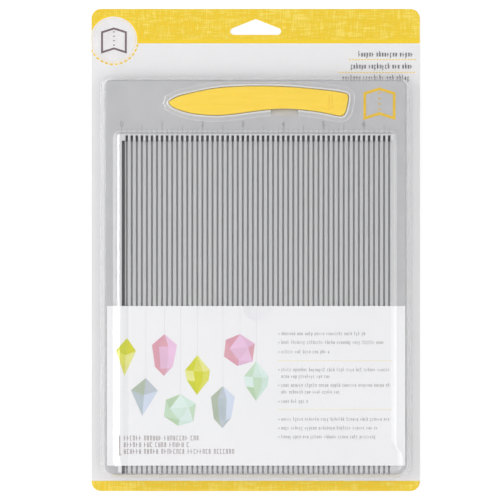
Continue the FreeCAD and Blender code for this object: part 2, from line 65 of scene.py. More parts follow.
FENCE_HEIGHT = mm(1.5)
BOARD_TOP = BOARD_HIGH.z - FENCE_HEIGHT
TICK_HEIGHT = mm(0.12)
INK = mm(0.02)
INCH = mm(25.4)
GROOVES = 53
CARD_CORNER = mm(6.0)
FULL_TURN = 2 * math.pi

# ---- colours ----


def shade(red, green, blue):
    """A colour given as it is seen on a screen, turned into the share of light it sends back."""
    return tuple((part / 255) ** 2.2 for part in (red, green, blue))


def scaled(colour, share):
    return tuple(part * share for part in colour)


CARD_WHITE = shade(232, 231, 232)
CARD_BACK = shade(186, 180, 171)
BAND_YELLOW = shade(232, 199, 20)
BAND_DEEP = shade(238, 198, 0)
BAND_PALE = shade(244, 218, 92)
STRIP_YELLOW = shade(243, 207, 0)
BOARD_GREY = shade(181, 181, 183)
BOARD_SPARKLE = shade(206, 206, 208)
BED_GREY = shade(190, 190, 191)
# Painted highlight: a paler grey for the board's raised crests, standing in for the light they
# catch.
CREST_HIGHLIGHT_GREY = shade(203, 203, 205)
# Painted shade: a darker grey on the ruler's numbers and tick crests, standing in for the shading
# round the raised marks.
RULER_SHADE_GREY = shade(153, 153, 156)
# Painted shade: a darker grey for the deep grooves, slots and channel, standing in for the shade in
# them.
SLOT_SHADE_GREY = shade(128, 128, 130)
FOLDER_YELLOW = shade(246, 210, 67)
FOLDER_PALE = shade(248, 213, 79)
PAPER_WHITE = shade(236, 236, 238)
PAPER_COOL = shade(229, 229, 230)
# Partly painted reflection: a white laid on the sheet's steep walls for their glare, partly the
# real haze of the stretched sheet.
HAZE_GLARE_WHITE = shade(246, 246, 248)
TEXT_DARK = shade(84, 82, 86)
TEXT_BROWN = shade(150, 138, 136)
TEXT_GREY = shade(150, 148, 148)
MARK_BROWN = shade(112, 92, 98)
MARK_YELLOW = shade(226, 184, 40)


# ---- materials ----


class Graph:
    """A material's node tree, built up from its output."""

    def __init__(self, name):
        self.material = bpy.data.materials.new(name)
        self.material.use_nodes = True
        self.tree = self.material.node_tree
        self.tree.nodes.clear()
        self.output = self.node("ShaderNodeOutputMaterial")

    def node(self, kind, inputs=None, **settings):
        made = self.tree.nodes.new(kind)
        for name, value in settings.items():
            setattr(made, name, value)
        for name, value in (inputs or {}).items():
            self.put(made.inputs[name], value)
        return made

    def put(self, socket, value):
        if isinstance(value, bpy.types.NodeSocket):
            self.tree.links.new(value, socket)
        elif isinstance(value, tuple) and len(value) == 3 and socket.type == "RGBA":
            socket.default_value = (*value, 1.0)
        else:
            socket.default_value = value

    def maths(self, operation, *values):
        made = self.node("ShaderNodeMath", operation=operation)
        for socket, value in zip(made.inputs, values):
            self.put(socket, value)
        return made.outputs[0]

    def position(self):
        return self.node("ShaderNodeTexCoord").outputs["Object"]

    def axes(self):
        split = self.node("ShaderNodeSeparateXYZ", {"Vector": self.position()})
        return split.outputs

    def stretched(self, scale):
        mapping = self.node("ShaderNodeMapping", {"Vector": self.position(), "Scale": scale})
        return mapping.outputs["Vector"]

    def noise(self, scale, detail=3.0, rough=0.6, stretch=None):
        vector = self.stretched(stretch) if stretch else self.position()
        inputs = {"Vector": vector, "Scale": scale, "Detail": detail, "Roughness": rough}
        return self.node("ShaderNodeTexNoise", inputs).outputs["Fac"]

    def ramp(self, factor, *stops):
        """stops are (place, colour or number)."""
        made = self.node("ShaderNodeValToRGB", {"Fac": factor})
        elements = made.color_ramp.elements
        while len(elements) < len(stops):
            elements.new(0.5)
        for element, (place, colour) in zip(elements, stops):
            element.position = place
            if not isinstance(colour, tuple):
                colour = (colour, colour, colour)
            element.color = (*colour, 1.0)
        return made.outputs["Color"]

    def mix(self, factor, first, second):
        made = self.node("ShaderNodeMix", data_type="RGBA", blend_type="MIX")
        self.put(made.inputs[0], factor)
        self.put(made.inputs[6], first)
        self.put(made.inputs[7], second)
        return made.outputs[2]

    def bump(self, height, strength, distance, before=None):
        inputs = {"Height": height, "Strength": strength, "Distance": distance}
        made = self.node("ShaderNodeBump", inputs)
        if before is not None:
            self.put(made.inputs["Normal"], before)
        return made.outputs["Normal"]

    def principled(self, **inputs):
        names = {name.replace("_", " "): value for name, value in inputs.items()}
        shader = self.node("ShaderNodeBsdfPrincipled", names)
        self.tree.links.new(shader.outputs["BSDF"], self.output.inputs["Surface"])
        return self.material


def printed_card():
    """Coated board: linen-print bands at both ends, a solid strip, a near-white middle."""
    g = Graph("printed_card")
    y = g.axes()["Y"]
    warp = g.noise(1500.0, 2.0, 0.6, stretch=(1.0, 0.06, 1.0))
    weft = g.noise(1500.0, 2.0, 0.6, stretch=(0.06, 1.0, 1.0))
    slubs = g.noise(260.0, 3.0, 0.7, stretch=(0.35, 1.0, 1.0))
    clouds = g.noise(38.0, 3.0, 0.55)
    weave = g.maths("MULTIPLY", g.maths("ADD", warp, weft), 0.5)
    weave = g.maths("ADD", weave, g.maths("MULTIPLY", g.maths("SUBTRACT", slubs, 0.5), 0.35))
    weave = g.maths("ADD", weave, g.maths("MULTIPLY", g.maths("SUBTRACT", clouds, 0.5), 0.2))
    linen = g.ramp(weave, (0.40, BAND_DEEP), (0.50, BAND_YELLOW), (0.60, BAND_PALE))
    strip = g.mix(clouds, STRIP_YELLOW, scaled(STRIP_YELLOW, 0.97))
    speckle = g.noise(900.0, 2.0, 0.5)
    paper = g.ramp(speckle, (0.3, scaled(CARD_WHITE, 0.97)), (0.7, CARD_WHITE))
    strip_top = CARD_HIGH.y - mm(19.2)
    strip_bottom = CARD_HIGH.y - mm(21.7)
    footer_top = CARD_LOW.y + mm(6.5)
    colour = g.mix(g.maths("GREATER_THAN", y, strip_bottom), paper, strip)
    colour = g.mix(g.maths("GREATER_THAN", y, strip_top), colour, linen)
    colour = g.mix(g.maths("LESS_THAN", y, footer_top), colour, linen)
    normal = g.node("ShaderNodeNewGeometry").outputs["Normal"]
    up = g.node("ShaderNodeSeparateXYZ", {"Vector": normal}).outputs[2]
    fibres = g.noise(700.0, 4.0, 0.7, stretch=(1.0, 0.3, 1.0))
    plain = g.ramp(fibres, (0.3, scaled(CARD_BACK, 0.88)), (0.7, CARD_BACK))
    colour = g.mix(g.maths("GREATER_THAN", up, 0.5), plain, colour)
    rough = g.ramp(speckle, (0.3, 0.42), (0.7, 0.52))
    normal = g.bump(speckle, 0.15, mm(0.02))
    return g.principled(Base_Color=colour, Roughness=rough, Normal=normal)


def moulded_grey():
    """Finely sparked grey plastic, with a painted highlight where it stands up and painted shade in
    its deep slots.
    """
    g = Graph("moulded_grey")
    axes = g.axes()
    bed_back = BOARD_HIGH.y - mm(35.0)
    bed_middle = mm(1.0)
    bed_half_width = mm(86.0)
    blend = mm(1.0)
    rise = mm(1.0)
    fall = mm(-3.0)
    past_comb = g.maths("SUBTRACT", axes["Y"], bed_back)
    above_top = g.maths("SUBTRACT", axes["Z"], BOARD_TOP)
    off_centre = g.maths("ABSOLUTE", g.maths("SUBTRACT", axes["X"], bed_middle))
    beside = g.maths("SUBTRACT", off_centre, bed_half_width)
    outside = g.maths("DIVIDE", g.maths("MAXIMUM", past_comb, beside), blend)
    bed = g.ramp(outside, (0.2, 1.0), (0.8, 0.0))
    # Painted highlight: everything that stands above the board's top is paled, for light caught on
    # its crests.
    raised = g.ramp(g.maths("DIVIDE", above_top, rise), (0.3, 0.0), (0.9, 1.0))
    # Painted shade: the deeper below the board's top, the darker, standing in for the shade in
    # grooves and slots.
    painted_slot_shade = g.ramp(g.maths("DIVIDE", above_top, fall), (0.35, 0.0), (0.6, 0.4), (0.76, 1.0))
    grain = g.noise(2600.0, 2.0, 0.6)
    mottle = g.noise(120.0, 4.0, 0.65)
    flow = g.noise(14.0, 3.0, 0.5, stretch=(1.0, 0.35, 1.0))
    tone = g.maths("ADD", g.maths("MULTIPLY", mottle, 0.5), g.maths("MULTIPLY", flow, 0.5))
    colour = g.ramp(tone, (0.35, scaled(BOARD_GREY, 0.93)), (0.65, scaled(BOARD_GREY, 1.05)))
    colour = g.mix(g.ramp(grain, (0.35, 0.0), (0.75, 0.2)), colour, BOARD_SPARKLE)
    colour = g.mix(bed, colour, BED_GREY)
    colour = g.mix(raised, colour, CREST_HIGHLIGHT_GREY)
    colour = g.mix(painted_slot_shade, colour, SLOT_SHADE_GREY)
    rough = g.ramp(grain, (0.3, 0.46), (0.7, 0.62))
    normal = g.bump(grain, 0.35, mm(0.03))
    normal = g.bump(mottle, 0.10, mm(0.05), normal)
    return g.principled(Base_Color=colour, Roughness=rough, Normal=normal)


def folder_yellow():
    """Satin yellow plastic with the faint lengthwise streaks of a filled moulding."""
    g = Graph("folder_yellow")
    streaks = g.noise(420.0, 3.0, 0.6, stretch=(0.12, 1.0, 1.0))
    grain = g.noise(2400.0, 2.0, 0.6)
    deep = scaled(FOLDER_YELLOW, 0.97)
    colour = g.ramp(streaks, (0.35, deep), (0.5, FOLDER_YELLOW), (0.7, FOLDER_PALE))
    rough = g.ramp(grain, (0.3, 0.36), (0.7, 0.48))
    normal = g.bump(grain, 0.25, mm(0.02))
    normal = g.bump(streaks, 0.08, mm(0.03), normal)
    return g.principled(
        Base_Color=colour,
        Roughness=rough,
        Normal=normal,
        Subsurface_Weight=0.08,
        Subsurface_Scale=mm(1.2),
        Coat_Weight=0.12,
        Coat_Roughness=0.3,
    )


def rubber():
    g = Graph("foot_rubber")
    grain = g.noise(1800.0, 3.0, 0.7)
    dust = g.noise(300.0, 4.0, 0.7)
    colour = g.ramp(dust, (0.35, (0.020, 0.020, 0.021)), (0.75, (0.045, 0.044, 0.043)))
    rough = g.ramp(grain, (0.3, 0.65), (0.7, 0.85))
    return g.principled(Base_Color=colour, Roughness=rough, Normal=g.bump(grain, 0.4, mm(0.03)))


def label_paper():
    g = Graph("label_paper")
    fibres = g.noise(800.0, 4.0, 0.7, stretch=(0.4, 1.0, 1.0))
    clouds = g.noise(20.0, 3.0, 0.5)
    colour = g.ramp(fibres, (0.3, scaled(PAPER_WHITE, 0.97)), (0.7, PAPER_WHITE))
    colour = g.mix(g.ramp(clouds, (0.35, 0.0), (0.75, 0.4)), colour, PAPER_COOL)
    rough = g.ramp(fibres, (0.3, 0.42), (0.7, 0.52))
    return g.principled(Base_Color=colour, Roughness=rough, Normal=g.bump(fibres, 0.12, mm(0.02)))


inks = {}


def ink(name, colour):
    """Printer's ink: a flat colour broken up by uneven cover and paper grain. The ruler marks also
    use it, for a painted shade.
    """
    if name in inks:
        return inks[name]
    g = Graph("ink_" + name)
    cover = g.noise(900.0, 3.0, 0.6)
    clouds = g.noise(90.0, 2.0, 0.5)
    tone = g.maths("MULTIPLY", g.maths("ADD", cover, clouds), 0.5)
    pale = tuple(min(1.0, 1.05 * part + 0.006) for part in colour)
    mixed = g.ramp(tone, (0.35, scaled(colour, 0.95)), (0.65, pale))
    rough = g.ramp(cover, (0.3, 0.40), (0.7, 0.52))
    normal = g.bump(cover, 0.1, mm(0.01))
    inks[name] = g.principled(Base_Color=mixed, Roughness=rough, Normal=normal)
    return inks[name]


def clear_sheet():
    """Thin clear sheet: it mirrors by its angle, and its steep walls get a little white diffuse,
    partly real haze of the stretched sheet and partly a painted reflection for the walls' glare.
    """
    g = Graph("clear_sheet")
    waves = g.noise(16.0, 2.0, 0.45)
    ripples = g.noise(70.0, 3.0, 0.5, stretch=(1.0, 0.5, 1.0))
    smears = g.noise(45.0, 4.0, 0.6, stretch=(0.5, 1.0, 1.0))
    normal = g.bump(waves, 0.15, mm(0.6))
    normal = g.bump(ripples, 0.05, mm(0.08), normal)
    rough = g.ramp(smears, (0.35, 0.04), (0.75, 0.10))
    mirror = g.node(
        "ShaderNodeBsdfGlossy",
        {"Color": (1.0, 1.0, 1.0), "Roughness": rough, "Normal": normal},
    )
    clear = g.node("ShaderNodeBsdfTransparent", {"Color": (0.988, 0.988, 0.988)})
    aslant = g.node("ShaderNodeLayerWeight", {"Blend": 0.5, "Normal": normal}).outputs["Facing"]
    head_on = 0.045
    grazing = 0.5
    share = g.maths("MULTIPLY_ADD", g.maths("POWER", aslant, 5.0), grazing, head_on)
    both = g.node("ShaderNodeMixShader", {"Fac": share})
    g.tree.links.new(clear.outputs[0], both.inputs[1])
    g.tree.links.new(mirror.outputs[0], both.inputs[2])
    # Partly painted reflection: white diffuse mixed in by steepness, standing in for the walls'
    # glare as well as the sheet's haze.
    haze_and_glare = g.node("ShaderNodeBsdfDiffuse", {"Color": HAZE_GLARE_WHITE})
    upright = g.node("ShaderNodeNewGeometry").outputs["Normal"]
    level = g.node("ShaderNodeSeparateXYZ", {"Vector": upright}).outputs["Z"]
    steep = g.maths("SUBTRACT", 1.0, g.maths("ABSOLUTE", level))
    haze_glare_mix = g.node("ShaderNodeMixShader", {"Fac": g.ramp(steep, (0.22, 0.0), (0.72, 0.2))})
    g.tree.links.new(both.outputs[0], haze_glare_mix.inputs[1])
    g.tree.links.new(haze_and_glare.outputs[0], haze_glare_mix.inputs[2])
    g.tree.links.new(haze_glare_mix.outputs[0], g.output.inputs["Surface"])
    return g.material


# ---- meshes ----


def put_in_scene(name, data):
    made = bpy.data.objects.new(name, data)
    bpy.context.scene.collection.objects.link(made)
    return made


def piece(name, bm, material, body, smooth=False):
    """Turns a bmesh into a piece of the object that rides on a body."""
    mesh = bpy.data.meshes.new(name)
    if smooth:
        for face in bm.faces:
            face.smooth = True
    bm.normal_update()
    bm.to_mesh(mesh)
    bm.free()
    made = put_in_scene(name, mesh)
    for one in material if isinstance(material, list) else [material]:
        mesh.materials.append(one)
    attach(made, body)
    return made


def add_polygon(bm, points, slot=0):
    """A flat face through (x, y) points in metres."""
    corners = [bm.verts.new((x, y, 0.0)) for x, y in points]
    face = bm.faces.new(corners)
    face.material_index = slot
    if face.calc_area() > 0:
        face.normal_update()
        if face.normal.z < 0:
            face.normal_flip()
    return face


def thicken(bm, thickness):
    """Makes each flat patch a thin closed solid, from its own height up."""
    below = list(bm.faces)
    copied = bmesh.ops.duplicate(bm, geom=list(bm.verts) + list(bm.edges) + below)
    pairs = copied["vert_map"]
    for item in copied["geom"]:
        if isinstance(item, bmesh.types.BMVert):
            item.co.z += thickness
    borders = [edge for face in below for edge in face.edges if len(edge.link_faces) == 1]
    for edge in borders:
        face = edge.link_faces[0]
        slot = face.material_index
        first, second = edge.verts
        for loop in face.loops:
            if loop.edge == edge:
                first, second = loop.vert, loop.link_loop_next.vert
        side = bm.faces.new((first, second, pairs[second], pairs[first]))
        side.material_index = slot
    for face in below:
        face.normal_flip()


def box_patch(bm, left, front, right, back):
    add_polygon(bm, [(left, front), (right, front), (right, back), (left, back)])


def arc_steps(count, start, end):
    """How many steps part count points: a full circle comes back to its first point."""
    return count if abs(end - start - FULL_TURN) < 1e-6 else count - 1


def disc_points(x, y, radius, count, start=0.0, end=FULL_TURN):
    steps = arc_steps(count, start, end)
    angles = [start + (end - start) * index / steps for index in range(count)]
    return [(x + radius * math.cos(a), y + radius * math.sin(a)) for a in angles]


def ring_patch(bm, x, y, outer, inner, start, end, count):
    """A band of a circle between two angles, as a strip of quads."""
    far = disc_points(x, y, outer, count, start, end)
    near = disc_points(x, y, inner, count, start, end)
    for index in range(arc_steps(count, start, end)):
        following = (index + 1) % count
        add_polygon(bm, [near[index], far[index], far[following], near[following]])


def stroke(bm, start, end, width):
    """A straight line of the given width."""
    along = Vector((end[0] - start[0], end[1] - start[1])).normalized()
    side = Vector((-along.y, along.x)) * width / 2
    a = Vector(start)
    b = Vector(end)
    points = [a - side, b - side, b + side, a + side]
    add_polygon(bm, [tuple(point) for point in points])


def outline_band(bm, corners, width):
    """A closed line of the given width through corners, mitred at each of them."""
    rings = []
    neighbours = zip(corners[-1:] + corners[:-1], corners, corners[1:] + corners[:1])
    for before, corner, after in neighbours:
        arriving = (Vector(corner) - Vector(before)).normalized()
        leaving = (Vector(after) - Vector(corner)).normalized()
        along = (arriving + leaving).normalized()
        across = Vector((-along.y, along.x))
        reach = width / 2 / across.dot(Vector((-arriving.y, arriving.x)))
        rings.append((Vector(corner) - across * reach, Vector(corner) + across * reach))
    for near, far in zip(rings, rings[1:] + rings[:1]):
        add_polygon(bm, [tuple(point) for point in (near[0], far[0], far[1], near[1])])


def everything(bm):
    return list(bm.verts) + list(bm.edges) + list(bm.faces)


def print_on(bm, height_at, bends=()):
    """Lays flat patches on a surface, cutting them where it bends."""
    bmesh.ops.remove_doubles(bm, verts=bm.verts, dist=mm(0.001))
    for bend in bends:
        place = (bend, 0, 0)
        bmesh.ops.bisect_plane(bm, geom=everything(bm), plane_co=place, plane_no=(1, 0, 0))
    for vert in bm.verts:
        vert.co.z = height_at(vert.co.x) + INK
    thicken(bm, INK)


def text_marks(bm, left, right, base, height, pitch, rng, capitals=False, boldness=0.2):
    """Stands in for a line of small print: joined strokes in word-sized groups, no letters."""
    weight = pitch * boldness
    x = left
    while x < right - pitch:
        for _ in range(rng.randint(3, 8)):
            if x > right - pitch:
                break
            tall = 0.5 if capitals else rng.random()
            top = base + height * (1.5 if tall > 0.8 else 1.0)
            bottom = base - height * (0.45 if tall < 0.1 else 0.0)
            width = pitch * rng.uniform(0.52, 0.68)
            box_patch(bm, x, bottom, x + weight, top)
            kind = rng.randint(0, 3)
            if kind in (0, 1):
                box_patch(bm, x + width - weight, base, x + width, base + height)
            for share in ((1.0,), (0.0, 0.5), (0.0, 1.0), (0.5,))[kind]:
                level = base + (height - weight) * share
                box_patch(bm, x + weight, level, x + width - weight * (kind < 2), level + weight)
            x += pitch
        x += pitch * 0.7


def folded_card_mark(bm, x, y, size, weight):
    """A plain pictogram: a sheet scored down the middle and folded, with its fold dashed."""
    half = size / 2
    lean = size * 0.16
    left_top = (x - half, y + half - lean)
    left_low = (x - half, y - half)
    fold_top = (x, y + half)
    fold_low = (x, y - half + lean)
    right_top = (x + half, y + half - lean)
    right_low = (x + half, y - half)
    outline_band(bm, [left_low, left_top, fold_top, right_top, right_low, fold_low], weight)
    dashes = 4
    length = (fold_top[1] - fold_low[1]) / (2 * dashes + 1)
    for index in range(dashes):
        low = fold_low[1] + length * (2 * index + 1.25)
        stroke(bm, (x, low), (x, low + length * 0.5), weight * 0.8)


# ---- the card's print ----


def on_card(_):
    return CARD_HIGH.z


def cut_left_of(bm, edge):
    bmesh.ops.bisect_plane(
        bm,
        geom=everything(bm),
        plane_co=(edge, 0, 0),
        plane_no=(-1, 0, 0),
        clear_outer=True,
    )


def make_badge():
    """A round badge that runs off the card's left edge: ring above, stitched ring below."""
    x = CARD_LOW.x + mm(13.9)
    y = CARD_HIGH.y - mm(19.6)
    radius = mm(15.8)
    band = mm(1.0)
    edge = CARD_LOW.x + mm(0.05)
    rows = []

    disc = bmesh.new()
    add_polygon(disc, disc_points(x, y, radius - mm(0.4), 96))
    rows.append(("badge_disc", disc, ink("badge_white", shade(230, 228, 229)), 1))

    ring = bmesh.new()
    ring_patch(ring, x, y, radius, radius - band, math.radians(-6), math.radians(160), 64)
    rows.append(("badge_ring", ring, ink("strip_yellow", STRIP_YELLOW), 2))

    stitches = bmesh.new()
    count = 14
    for index in range(count):
        start = math.radians(-170 + 165 * index / count)
        ring_patch(stitches, x, y, radius, radius - band, start, start + math.radians(7.6), 5)
    rows.append(("badge_stitches", stitches, ink("strip_yellow", STRIP_YELLOW), 2))

    inner = bmesh.new()
    inner_radius = radius - mm(1.9)
    ring_patch(inner, x, y, inner_radius, inner_radius - mm(0.28), 0.0, FULL_TURN, 96)
    rows.append(("badge_inner_line", inner, ink("cream", shade(238, 214, 160)), 2))

    mark = bmesh.new()
    folded_card_mark(mark, x + mm(0.2), y - mm(0.2), mm(15.0), mm(1.25))
    rows.append(("badge_mark", mark, ink("mark_brown", MARK_BROWN), 2))

    for name, bm, material, layer in rows:
        cut_left_of(bm, edge)
        print_on(bm, lambda _, lift=layer: CARD_HIGH.z + INK * (lift - 1))
        piece(name, bm, material, "card")


def make_card_lines():
    """Three right-aligned lines of small print, with stitched rules between them."""
    rng = random.Random(11)
    right = CARD_HIGH.x - mm(3.6)
    marks = bmesh.new()
    rules = bmesh.new()
    for down, width in ((30.0, 35.1), (37.6, 39.9), (45.1, 45.2)):
        base = CARD_HIGH.y - mm(down)
        text_marks(marks, right - mm(width), right, base, mm(2.4), mm(1.7), rng, boldness=0.26)
    for down, width in ((32.0, 41.2), (40.0, 47.6)):
        x = right - mm(width)
        y = CARD_HIGH.y - mm(down)
        while x < right:
            box_patch(rules, x, y - mm(0.3), x + mm(1.2), y + mm(0.3))
            x += mm(1.95)
    print_on(marks, on_card)
    print_on(rules, on_card)
    piece("card_print_lines", marks, ink("text_dark", TEXT_DARK), "card")
    piece("card_print_rules", rules, ink("strip_yellow", STRIP_YELLOW), "card")


# ---- the insert's print ----

LABEL_CREST = (BOARD_LOW.x + mm(7.7), BOARD_LOW.x + mm(10.2))
LABEL_RISE = BOARD_LOW.x + mm(5.85)
LABEL_FALL = BOARD_LOW.x + mm(14.45)
LABEL_BENDS = (LABEL_RISE, *LABEL_CREST, LABEL_FALL)
LABEL_LOW_TOP = LABEL_HIGH.z - FENCE_HEIGHT


def on_label(x):
    """Height of the insert's face, which steps over the left fence."""
    if x <= LABEL_RISE or x >= LABEL_FALL:
        return LABEL_LOW_TOP
    if x < LABEL_CREST[0]:
        share = (x - LABEL_RISE) / (LABEL_CREST[0] - LABEL_RISE)
    elif x > LABEL_CREST[1]:
        share = (LABEL_FALL - x) / (LABEL_FALL - LABEL_CREST[1])
    else:
        share = 1.0
    return LABEL_LOW_TOP + FENCE_HEIGHT * share


PINK = [shade(214, 160, 172), shade(220, 180, 206), shade(212, 154, 168), shade(228, 190, 218)]
LIME = [shade(206, 206, 46), shade(214, 214, 92), shade(198, 202, 44), shade(224, 224, 138)]
SLATE = [shade(184, 192, 200), shade(176, 188, 194), shade(172, 182, 164), shade(202, 212, 228)]
MINT = [shade(190, 214, 188), shade(204, 224, 214), shade(178, 202, 168), shade(214, 230, 224)]

# Outline corners of each paper shape and the facets between them, in shares of its box, with
# the number of the tone that each facet is printed in.
KITE = [
    ([(0.55, 1.0), (0.0, 0.68), (0.48, 0.55)], 2),
    ([(0.55, 1.0), (0.48, 0.55), (1.0, 0.66)], 0),
    ([(0.0, 0.68), (0.42, 0.0), (0.48, 0.55)], 1),
    ([(0.48, 0.55), (0.42, 0.0), (1.0, 0.66)], 3),
]
CRYSTAL = [
    ([(0.5, 1.0), (0.0, 0.74), (0.28, 0.70)], 2),
    ([(0.5, 1.0), (0.28, 0.70), (0.66, 0.70)], 0),
    ([(0.5, 1.0), (0.66, 0.70), (1.0, 0.74)], 3),
    ([(0.0, 0.74), (0.12, 0.22), (0.34, 0.18), (0.28, 0.70)], 2),
    ([(0.28, 0.70), (0.34, 0.18), (0.62, 0.18), (0.66, 0.70)], 1),
    ([(0.66, 0.70), (0.62, 0.18), (0.84, 0.24), (1.0, 0.74)], 3),
    ([(0.12, 0.22), (0.48, 0.0), (0.34, 0.18)], 2),
    ([(0.34, 0.18), (0.48, 0.0), (0.62, 0.18)], 0),
    ([(0.62, 0.18), (0.48, 0.0), (0.84, 0.24)], 1),
]
HEXAGON = [
    ([(0.52, 1.0), (0.06, 0.82), (0.18, 0.54)], 2),
    ([(0.52, 1.0), (0.18, 0.54), (0.78, 0.58)], 3),
    ([(0.52, 1.0), (0.78, 0.58), (1.0, 0.70)], 1),
    ([(0.06, 0.82), (0.0, 0.30), (0.18, 0.54)], 0),
    ([(0.18, 0.54), (0.48, 0.18), (0.78, 0.58)], 1),
    ([(0.18, 0.54), (0.0, 0.30), (0.48, 0.18)], 0),
    ([(0.0, 0.30), (0.44, 0.0), (0.48, 0.18)], 2),
    ([(0.48, 0.18), (0.44, 0.0), (0.92, 0.14)], 1),
    ([(0.78, 0.58), (0.48, 0.18), (0.92, 0.14)], 3),
    ([(1.0, 0.70), (0.78, 0.58), (0.92, 0.14)], 0),
]
DIAMOND = [
    ([(0.5, 1.0), (0.0, 0.62), (0.34, 0.60)], 0),
    ([(0.5, 1.0), (0.34, 0.60), (0.72, 0.58)], 1),
    ([(0.5, 1.0), (0.72, 0.58), (1.0, 0.62)], 3),
    ([(0.0, 0.62), (0.08, 0.36), (0.40, 0.34), (0.34, 0.60)], 3),
    ([(0.34, 0.60), (0.40, 0.34), (0.70, 0.34), (0.72, 0.58)], 0),
    ([(0.72, 0.58), (0.70, 0.34), (0.95, 0.38), (1.0, 0.62)], 1),
    ([(0.08, 0.36), (0.48, 0.0), (0.40, 0.34)], 2),
    ([(0.40, 0.34), (0.48, 0.0), (0.70, 0.34)], 0),
    ([(0.70, 0.34), (0.48, 0.0), (0.95, 0.38)], 1),
]

# Each hanging shape: name, facets, tones, and its left, right, top and bottom, in millimetres from
# the insert's left edge and down from its top edge.
HANGING = [
    ("kite_lime", KITE, LIME, 5.7, 18.3, 20.2, 44.1),
    ("kite_slate", KITE, SLATE, 15.1, 32.1, 45.3, 69.2),
    ("crystal_pink", CRYSTAL, PINK, 28.3, 44.1, 17.7, 44.1),
    ("hexagon_mint", HEXAGON, MINT, 35.9, 56.0, 55.4, 75.5),
    ("diamond_lime", DIAMOND, LIME, 49.1, 64.8, 30.9, 56.0),
    ("crystal_slate", CRYSTAL, SLATE, 65.4, 80.5, 50.4, 76.8),
    ("hexagon_pink", HEXAGON, PINK, 73.6, 93.1, 17.7, 37.8),
    ("diamond_mint", DIAMOND, MINT, 86.2, 101.9, 34.6, 59.8),
]


def on_insert(across, down):
    """A place on the insert from its left edge and its top edge, in millimetres."""
    return (LABEL_LOW.x + mm(across), LABEL_HIGH.y - mm(down))


def make_hanging_shapes():
    """The printed picture: folded paper shapes hanging on threads."""
    threads = bmesh.new()
    for name, facets, tones, left, right, top, bottom in HANGING:
        bm = bmesh.new()
        for corners, tone in facets:
            points = [
                on_insert(left + share_x * (right - left), bottom + share_y * (top - bottom))
                for share_x, share_y in corners
            ]
            add_polygon(bm, points, slot=tone)
        print_on(bm, on_label, LABEL_BENDS)
        shades = [ink(f"{name.split('_')[1]}_{index}", tone) for index, tone in enumerate(tones)]
        piece("print_" + name, bm, shades, "label")
        hook = left + (right - left) * facets[0][0][0][0]
        stroke(threads, on_insert(hook, top + 0.3), on_insert(hook, 0.3), mm(0.22))
    disc = bmesh.new()
    middle_x, middle_y = on_insert(94.7, 0.3)
    add_polygon(disc, disc_points(middle_x, middle_y, mm(9.2), 40, math.pi, FULL_TURN))
    print_on(disc, lambda x: on_label(x) - INK / 2)
    piece("print_pale_disc", disc, ink("pale_grey", shade(227, 227, 230)), "label")
    print_on(threads, lambda x: on_label(x) + INK / 2, LABEL_BENDS)
    piece("print_threads", threads, ink("thread", shade(214, 212, 220)), "label")


# Lines of the insert's text column: base line, right end, and whether a bullet starts it.
COLUMN_LINES = [
    (18.4, 163.0, True),
    (23.9, 175.6, True),
    (29.8, 140.9, True),
    (41.1, 179.0, True),
    (45.3, 142.8, False),
    (50.8, 179.0, True),
    (55.1, 147.9, False),
    (61.0, 127.1, True),
    (72.2, 179.3, True),
    (77.7, 171.2, True),
    (83.3, 170.5, True),
]
COLUMN_LEFT = 109.8
CORNER_LINES = [(84.6, 59.8), (88.8, 52.9), (93.0, 83.7)]
CORNER_LEFT = 10.7
RULE_HEIGHTS = (34.5, 65.2)


def make_insert_text():
    rng = random.Random(5)
    column = bmesh.new()
    for down, end, bullet in COLUMN_LINES:
        x, base = on_insert(COLUMN_LEFT, down)
        text_marks(column, x, LABEL_LOW.x + mm(end), base, mm(1.6), mm(1.3), rng)
        if bullet:
            add_polygon(column, disc_points(x - mm(1.6), base + mm(0.8), mm(0.4), 10))
    print_on(column, on_label)
    piece("print_column_text", column, ink("text_grey", TEXT_GREY), "label")

    corner = bmesh.new()
    for down, end in CORNER_LINES:
        x, base = on_insert(CORNER_LEFT, down)
        text_marks(corner, x, LABEL_LOW.x + mm(end), base, mm(3.0), mm(1.9), rng, capitals=True)
    stem_left, stem_low = on_insert(7.6, 93.4)
    box_patch(corner, stem_left, stem_low, stem_left + mm(0.75), stem_low + mm(11.8))
    box_patch(corner, stem_left - mm(0.6), stem_low - mm(0.5), stem_left + mm(1.6), stem_low)
    print_on(corner, on_label, LABEL_BENDS)
    piece("print_corner_text", corner, ink("text_brown", TEXT_BROWN), "label")

    rules = bmesh.new()
    for down in RULE_HEIGHTS:
        left, y = on_insert(COLUMN_LEFT - 2.2, down)
        box_patch(rules, left, y - mm(0.15), left + mm(71.7), y + mm(0.15))
    print_on(rules, on_label)
    piece("print_rules", rules, ink("rule_yellow", shade(232, 222, 160)), "label")


# ---- the board's mark and ruler numbers ----


def on_board(_):
    return BOARD_TOP


def make_board_mark():
    bm = bmesh.new()
    folded_card_mark(bm, BOARD_HIGH.x - mm(16.6), BOARD_HIGH.y - mm(14.6), mm(18.5), mm(1.7))
    print_on(bm, on_board)
    piece("board_mark", bm, ink("mark_yellow", MARK_YELLOW), "board")


